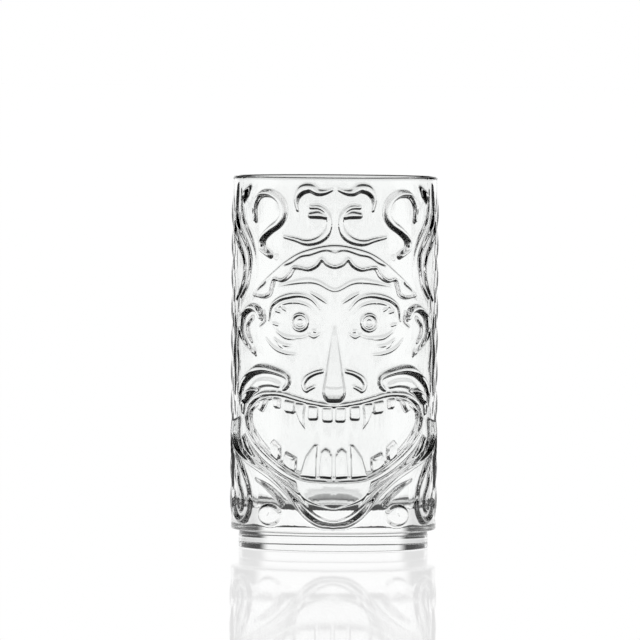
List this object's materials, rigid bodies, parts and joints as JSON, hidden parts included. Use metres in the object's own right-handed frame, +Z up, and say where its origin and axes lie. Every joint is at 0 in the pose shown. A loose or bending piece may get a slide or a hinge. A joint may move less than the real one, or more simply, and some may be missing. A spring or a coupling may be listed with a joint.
{
  "type": "tiki tumbler",
  "caption": "Straight pressed-glass tiki tumbler with a fanged carved mask in relief, a thick base and a stepped-in foot that stacks in the mouth of another.",
  "frame": {"origin": "on the axis, at the level that the foot stands on", "axes": "+Z up along the axis, the mask faces -Y, +X is to the right of someone who looks at the mask"},
  "size_m": [0.0818, 0.0845, 0.145],
  "materials": {
    "clear_glass": "fire-polished clear soda-lime glass"
  },
  "bodies": {
    "root": {"wall": "clear_glass", "rim": "clear_glass", "base": "clear_glass", "foot": "clear_glass", "crown_hooks": "clear_glass", "crown_scrolls": "clear_glass", "side_loops": "clear_glass", "temple_leaves": "clear_glass", "upper_locks": "clear_glass", "brow_band": "clear_glass", "frown_ridges": "clear_glass", "eyelids": "clear_glass", "irises": "clear_glass", "eye_bags": "clear_glass", "ears": "clear_glass", "nose": "clear_glass", "nostrils": "clear_glass", "cheek_curls": "clear_glass", "upper_lip": "clear_glass", "lower_lip": "clear_glass", "upper_teeth": "clear_glass", "upper_fangs": "clear_glass", "lower_teeth": "clear_glass", "lower_fangs": "clear_glass", "front_teeth": "clear_glass", "chin": "clear_glass", "jaw_folds": "clear_glass", "lower_curls": "clear_glass", "lower_locks": "clear_glass", "side_braids": "clear_glass"}
  },
  "joints": []
}
